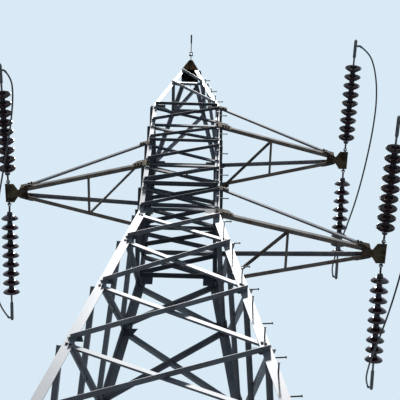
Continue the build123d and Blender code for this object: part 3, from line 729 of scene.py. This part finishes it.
class PYLON_OT_stage(bpy.types.Operator):
    """Sets the camera, the lamp, the pale floor and the background"""

    bl_idname = "pylon.stage"
    bl_label = "Stage"

    def execute(self, context):
        scene = context.scene
        colours = scene.pylon_colours
        scene.view_settings.view_transform = "Standard"

        # The camera stands in front of the tower and looks steeply up, as the photograph does
        ahead = Vector((math.sin(CAMERA_YAW), math.cos(CAMERA_YAW), 0.0))
        forward = ahead * math.cos(CAMERA_PITCH) + Vector((0.0, 0.0, math.sin(CAMERA_PITCH)))
        right = Vector((math.cos(CAMERA_YAW), -math.sin(CAMERA_YAW), 0.0))
        up = right.cross(forward)
        across = math.cos(CAMERA_ROLL) * right + math.sin(CAMERA_ROLL) * up
        above = -math.sin(CAMERA_ROLL) * right + math.cos(CAMERA_ROLL) * up
        lens = bpy.data.cameras.new("Camera")
        lens.sensor_width = CAMERA_SENSOR
        lens.lens = CAMERA_LENS
        lens.clip_end = CAMERA_REACH
        camera = bpy.data.objects.new("Camera", lens)
        scene.collection.objects.link(camera)
        aim = Matrix((across, above, -forward)).transposed().to_4x4()
        aim.translation = Vector(CAMERA_PLACE)
        camera.matrix_world = aim
        scene.camera = camera

        # A high key lamp from just before the tower: front flanges catch it, undersides don't
        lamp = bpy.data.lights.new("Key", "SUN")
        lamp.energy = SUN_STRENGTH
        lamp.angle = SUN_ANGLE
        key = bpy.data.objects.new("Key", lamp)
        key.rotation_mode = "QUATERNION"
        key.rotation_quaternion = Vector(SUN_AIM).to_track_quat("-Z", "Y")
        scene.collection.objects.link(key)

        # The world is the pale background for the camera, gloss and glass, and a weak cool fill
        world = bpy.data.worlds.new("World")
        scene.world = world
        world.use_nodes = True
        tree = world.node_tree
        tree.nodes.clear()
        rays = tree.nodes.new("ShaderNodeLightPath")
        seen = self.seen_rays(tree, rays)
        fill = add_node(
            tree,
            "ShaderNodeBackground",
            inputs=[("Color", (*linear(FILL_COLOUR), 1.0)), ("Strength", FILL_STRENGTH)],
        )
        shown = add_node(
            tree,
            "ShaderNodeBackground",
            inputs=[("Color", (*colours.backdrop, 1.0)), ("Strength", 1.0)],
        )
        mix = add_node(
            tree,
            "ShaderNodeMixShader",
            links=[(0, seen), (1, fill.outputs[0]), (2, shown.outputs[0])],
        )
        add_node(tree, "ShaderNodeOutputWorld", links=[("Surface", mix.outputs[0])])

        # The floor is pale where it is seen and dark for bounced light, and it keeps the shadow
        bpy.ops.mesh.primitive_plane_add(size=FLOOR_WIDTH, location=(0, 0, FLOOR_HEIGHT))
        floor = bpy.context.object
        floor.name = "Floor"
        material = bpy.data.materials.new("Pale_Floor")
        material.use_nodes = True
        tree = material.node_tree
        rays = tree.nodes.new("ShaderNodeLightPath")
        seen = self.seen_rays(tree, rays)
        colour = blend_colours(tree, seen, linear(FLOOR_BOUNCE), linear(FLOOR_COLOUR))
        shader = tree.nodes["Principled BSDF"]
        shader.inputs["Roughness"].default_value = 0.9
        tree.links.new(colour, shader.inputs["Base Color"])
        paint(floor, material)
        return {"FINISHED"}

    def seen_rays(self, tree, rays):
        """1 for camera, glossy and transmission rays."""
        first = add_node(
            tree,
            "ShaderNodeMath",
            links=[(0, rays.outputs["Is Camera Ray"]), (1, rays.outputs["Is Glossy Ray"])],
            settings=[("operation", "MAXIMUM")],
        )
        second = add_node(
            tree,
            "ShaderNodeMath",
            links=[(0, first.outputs[0]), (1, rays.outputs["Is Transmission Ray"])],
            settings=[("operation", "MAXIMUM")],
        )
        return second.outputs[0]


class PYLON_OT_jumpers(bpy.types.Operator):
    """Hangs the jumper conductors under the arms, from clamp to clamp"""

    bl_idname = "pylon.jumpers"
    bl_label = "Jumpers"

    def execute(self, context):
        sizes = context.scene.pylon_sizes
        material = stranded_conductor(context.scene.pylon_colours)
        first, last = JUMPER_ROUTE[0][1], JUMPER_ROUTE[-1][1]
        for name, (reach, level, side) in ARMS.items():
            stretch, swing = JUMPER_SHAPES[name]
            middle = (reach - HOLE_SETBACK) * side
            points = []
            for out, along_line, rise in JUMPER_ROUTE:
                share = (along_line - first) / (last - first)
                across = stretch * out + swing * math.sin(math.pi * share)
                points.append((middle + across, along_line, level + rise))
            curve = bpy.data.curves.new(f"Jumper_{name}", "CURVE")
            curve.dimensions = "3D"
            spline = curve.splines.new("NURBS")
            spline.points.add(len(points) - 1)
            for point, place in zip(spline.points, points):
                point.co = (*place, 1.0)
            spline.order_u = 3
            spline.use_endpoint_u = True
            spline.resolution_u = 8
            curve.bevel_depth = sizes.conductor / 2
            curve.bevel_resolution = 3
            curve.use_fill_caps = True
            curve.materials.append(material)
            jumper = bpy.data.objects.new(f"Jumper_{name}", curve)
            context.scene.collection.objects.link(jumper)
            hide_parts(f"jumper_{name}")
            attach(jumper, "root")
        return {"FINISHED"}


class PYLON_OT_finishes(bpy.types.Operator):
    """Paints the steel, the fittings and the clamps that come with the frame"""

    bl_idname = "pylon.finishes"
    bl_label = "Finishes"

    def execute(self, context):
        colours = context.scene.pylon_colours
        darker = scaled(colours.zinc, 0.7)
        darkest = scaled(colours.plate, 0.13)
        zinc = galvanised_steel("Weathered_Galvanised_Steel", colours.zinc, colours, sheen=0.62)
        # A copy of the same zinc, darkened to 0.7 and with little sheen: painted shade for parts that
        # stand in shade
        shade_painted_zinc = galvanised_steel("Shade_Painted_Galvanised_Steel", darker, colours, sheen=0.08)
        tie = galvanised_steel("Tie_Galvanised_Steel", colours.zinc, colours, sheen=1.0)
        browned = browned_steel("Browned_Arm_Steel", colours.dull, colours, sheen=0.8)
        plate = browned_steel("Browned_Plate_Steel", colours.plate, colours, sheen=0.06)
        # The cap takes the plate colour darkened to 0.13, near black, with no sheen
        cap = browned_steel("Dark_Cap_Steel", darkest, colours, sheen=0.0)
        forged = forged_fittings(colours)
        pressed = aluminium_fittings(colours)
        for name, item in NODES.items():
            material = zinc
            # The cage's braces and struts and the gussets take the zinc copy with painted shade
            if name.startswith(("cage_braces", "cage_struts", "corner_gussets", "joint_gussets")):
                material = shade_painted_zinc
            if name.endswith("_arm_ties"):
                material = tie
            if name.endswith(("_arm_chords", "_arm_bracing")):
                material = browned
            if name.endswith(("_arm_plates", "_arm_tip_plate")):
                material = plate
            if name == "peak_cap":
                material = cap
            if name.startswith(("shackles_", "links_", "earth_wire_", "step_bolts")):
                material = forged
            if name.startswith("dead_end_clamps"):
                material = pressed
            paint(item, material)
        return {"FINISHED"}


class PYLON_OT_insulator_strings(bpy.types.Operator):
    """Models the strings of cap and pin discs in glazed porcelain"""

    bl_idname = "pylon.insulator_strings"
    bl_label = "Insulator strings"

    def execute(self, context):
        colours = context.scene.pylon_colours
        glaze = porcelain(colours)
        metal = bpy.data.materials["Forged_Galvanised_Fittings"]
        grout = cement()
        for side in STRINGS:
            units = self.make_unit(context.scene.pylon_sizes.disc_radius, (metal, grout, glaze))
            places = []
            for reach, level, facing_x in ARMS.values():
                string = string_matrix(side, reach, level, facing_x)
                for number in range(DISC_COUNT):
                    along = FIRST_CAP + number * DISC_PITCH
                    places.append(string @ Matrix.Translation((0, 0, along)))
            strings = scatter(units, places, f"Insulator_Strings_{side}")
            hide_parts(f"insulator_strings_{side}")
            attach(strings, "root")
        return {"FINISHED"}

    def make_unit(self, rim, materials):
        """One disc: cap with its socket, cement, ribbed shell and pin, from the cap's top down."""
        cap = [
            (0.0, 0.0),
            (0.016, 0.0),
            (0.022, 0.003),
            (0.030, 0.006),
            (0.037, 0.014),
            (0.039, 0.030),
            (0.042, 0.046),
            (0.0455, 0.052),
            (0.0455, 0.060),
            (0.038, 0.061),
            (0.0, 0.061),
        ]
        ring = [(0.044, 0.0585), (0.047, 0.0615), (0.047, 0.0635), (0.040, 0.064), (0.044, 0.0585)]
        shell = [
            (0.038, 0.060),
            (0.050, 0.0615),
            (0.068, 0.067),
            (0.088, 0.0775),
            (0.107, 0.0910),
            (rim - 0.007, 0.1035),
            (rim - 0.001, 0.1095),
            (rim - 0.0005, 0.1135),
            (rim - 0.005, 0.1155),
            (rim - 0.013, 0.1090),
            (rim - 0.018, 0.1070),
            (rim - 0.0205, 0.1220),
            (rim - 0.0245, 0.1220),
            (rim - 0.028, 0.1020),
            (rim - 0.037, 0.0995),
            (rim - 0.0395, 0.1260),
            (rim - 0.0445, 0.1260),
            (rim - 0.048, 0.0975),
            (rim - 0.058, 0.0940),
            (rim - 0.0605, 0.1240),
            (rim - 0.0655, 0.1240),
            (rim - 0.069, 0.0920),
            (0.042, 0.0920),
            (0.034, 0.0950),
            (0.028, 0.0950),
            (0.038, 0.060),
        ]
        pin = [
            (0.0, 0.0940),
            (0.030, 0.0940),
            (0.020, 0.0965),
            (0.011, 0.0985),
            (0.0105, 0.120),
            (0.0105, 0.134),
            (0.014, 0.138),
            (0.014, 0.146),
            (0.0, 0.146),
        ]
        made = []
        for number, outline, steps in ((0, cap, 20), (1, ring, 20), (2, shell, 32), (0, pin, 12)):
            shape = spin_profile(outline, steps)
            paint(shape, materials[number])
            made.append(shape)
        deselect_all()
        for shape in made:
            shape.select_set(True)
        bpy.context.view_layer.objects.active = made[0]
        bpy.ops.object.join()
        unit = bpy.context.object
        bpy.ops.object.shade_smooth_by_angle(angle=math.radians(40.0))
        return unit


class PYLON_OT_lattice_bolts(bpy.types.Operator):
    """Puts the bolts into the braces and packings of body and cage"""

    bl_idname = "pylon.lattice_bolts"
    bl_label = "Lattice bolts"

    def execute(self, context):
        sizes = context.scene.pylon_sizes
        grip = LEG_THICKNESS + BRACE_THICKNESS
        body, cage = [], []
        levels = body_levels()
        for turn in FACE_TURNS:
            for top, bottom in zip(levels, levels[1:]):
                gap_top = WAIST_GAP if top == WAIST_HEIGHT else NODE_GAP
                outer, inner = brace_pair(top, bottom, LEG_FLANGE, gap_top, NODE_GAP)
                self.panel_bolts(turn, outer, inner, body, BODY_BOLT_SPACING)
            rises = cage_levels()
            for bottom, top in zip(rises, rises[1:]):
                outer, inner = brace_pair(top, bottom, CAGE_FLANGE, CAGE_DROP, CAGE_RISE)
                self.panel_bolts(turn, outer, inner, cage, CAGE_BOLT_SPACING)
        for name, places in (("Body_Bolts", body), ("Cage_Bolts", cage)):
            bolt = make_hex_bolt(sizes.brace_bolt, BRACE_BOLT_HEAD, grip, BRACE_BOLT_NUT)
            finish_fasteners(scatter(bolt, places, name))
        return {"FINISHED"}

    def panel_bolts(self, turn, outer, inner, places, spacing):
        """The bolts of one panel: at the ends of its two diagonals and where they cross."""
        bar_bolts(turn, *outer, BRACE_THICKNESS, places, spacing)
        bar_bolts(turn, *inner, 0.0, places, spacing)
        across, height = crossing(outer, inner)
        seat = on_face(turn, across, height, BRACE_THICKNESS)
        places.append(bolt_place(seat, face_outward(turn, height)))


class PYLON_OT_arm_bolts(bpy.types.Operator):
    """Puts the bolts into root plates, ties, chords and tip plates"""

    bl_idname = "pylon.arm_bolts"
    bl_label = "Arm bolts"

    def execute(self, context):
        sizes = context.scene.pylon_sizes
        places = []
        for reach, level, side in ARMS.values():
            points = self.front_half(*arm_frame(reach))
            places += arm_places(reach, level, side, points)
        bolt = make_hex_bolt(sizes.plate_bolt, PLATE_BOLT_HEAD, PLATE_BOLT_GRIP, PLATE_BOLT_NUT)
        finish_fasteners(scatter(bolt, places, "Arm_Bolts"))
        return {"FINISHED"}

    def front_half(self, root, along, outward, length):
        """Points and directions of the bolts at the front half of an arm, at level 0."""
        up = Vector((0, 0, 1))
        face = outward * PLATE_SEAT
        front = Vector((0, -1, 0))
        points = []

        # Chord and tie in the root plates, and the root plates on the leg
        for step in ROOT_CHORD_BOLTS:
            points.append((root + along * step + up * CHORD_GAUGE + face, outward))
        start, height, slope = ROOT_TIE_LINE
        for step in ROOT_TIE_BOLTS:
            rise = height + slope * (step - start)
            points.append((root + along * step + up * rise + face, outward))
        for rise in ROOT_LEG_BOLTS:
            points.append((root + Vector((-LEG_GAUGE, -PLATE_SEAT, rise)), front))

        # Chord and tie in the side plates at the tip, and the tip plate under the chord
        for back in TIP_CHORD_BOLTS:
            points.append((root + along * (length - back) + up * CHORD_GAUGE + face, outward))
        start, height, slope = TIP_TIE_LINE
        for back in TIP_TIE_BOLTS:
            rise = height + slope * (back - start)
            points.append((root + along * (length - back) + up * rise + face, outward))
        for back in TIP_PLATE_BOLTS:
            below = root + along * (length - back) - outward * TIP_PLATE_GAUGE
            points.append((below - up * TIP_PLATE_DROP, -up))
        return points


class PYLON_OT_anchor_bolts(bpy.types.Operator):
    """Puts washers, nuts and thread ends over the holes of the feet"""

    bl_idname = "pylon.anchor_bolts"
    bl_label = "Anchor bolts"

    def execute(self, context):
        sizes = context.scene.pylon_sizes
        centre = half_width(FOOT_PLATE) - LEG_FLANGE / 2
        reach = FOOT_BOLT_SPACING / 2
        places = []
        for side_x in (-1, 1):
            for side_y in (-1, 1):
                for step_x in (-reach, reach):
                    for step_y in (-reach, reach):
                        spot = (side_x * centre + step_x, side_y * centre + step_y, FOOT_PLATE)
                        twist = Matrix.Rotation(step_x * ANCHOR_TWIST, 4, "Z")
                        places.append(Matrix.Translation(spot) @ twist)
        finish_fasteners(scatter(self.make_nut(sizes.anchor_bolt), places, "Anchor_Bolts"))
        return {"FINISHED"}

    def make_nut(self, width):
        """A round washer with a nut and the end of the bolt on it."""
        radius = width / math.sqrt(3)
        deselect_all()
        washer = add_prism(20, width * 0.85, 0.0, ANCHOR_WASHER)
        nut = add_prism(6, radius, ANCHOR_WASHER, ANCHOR_WASHER + ANCHOR_NUT)
        edit_end_face(nut, 1)
        bpy.ops.mesh.inset(thickness=radius * 0.14, depth=0.0)
        bpy.ops.transform.translate(value=(0, 0, ANCHOR_CHAMFER))
        bpy.ops.mesh.inset(thickness=radius * 0.3, depth=0.0)
        extrude_up(ANCHOR_THREAD)
        leave_edit()
        return join_at_origin(washer, nut)


class PYLON_PT_sidebar(bpy.types.Panel):
    bl_idname = "PYLON_PT_sidebar"
    bl_label = "Pylon"
    bl_space_type = "VIEW_3D"
    bl_region_type = "UI"
    bl_category = "Pylon"

    def draw(self, context):
        layout = self.layout
        sizes = context.scene.pylon_sizes
        for name in ("conductor", "brace_bolt", "plate_bolt", "anchor_bolt", "disc_radius"):
            layout.prop(sizes, name)
        colours = context.scene.pylon_colours
        for name in ("zinc", "zinc_stain", "dull", "plate", "rust", "glaze", "aluminium", "backdrop"):
            layout.prop(colours, name)
        for step in STEPS:
            layout.operator(step.bl_idname)


STEPS = (
    PYLON_OT_stage,
    PYLON_OT_jumpers,
    PYLON_OT_finishes,
    PYLON_OT_insulator_strings,
    PYLON_OT_lattice_bolts,
    PYLON_OT_arm_bolts,
    PYLON_OT_anchor_bolts,
)
CLASSES = (PylonSizes, PylonColours, *STEPS, PYLON_PT_sidebar)


def register():
    for made in CLASSES:
        bpy.utils.register_class(made)
    bpy.types.Scene.pylon_sizes = bpy.props.PointerProperty(type=PylonSizes)
    bpy.types.Scene.pylon_colours = bpy.props.PointerProperty(type=PylonColours)


def unregister():
    del bpy.types.Scene.pylon_colours
    del bpy.types.Scene.pylon_sizes
    for made in reversed(CLASSES):
        bpy.utils.unregister_class(made)


def main():
    register()
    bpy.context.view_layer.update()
    bpy.ops.pylon.stage()
    bpy.ops.pylon.jumpers()
    bpy.ops.pylon.finishes()
    bpy.ops.pylon.insulator_strings()
    bpy.ops.pylon.lattice_bolts()
    bpy.ops.pylon.arm_bolts()
    bpy.ops.pylon.anchor_bolts()


if __name__ == "__main__":
    main()
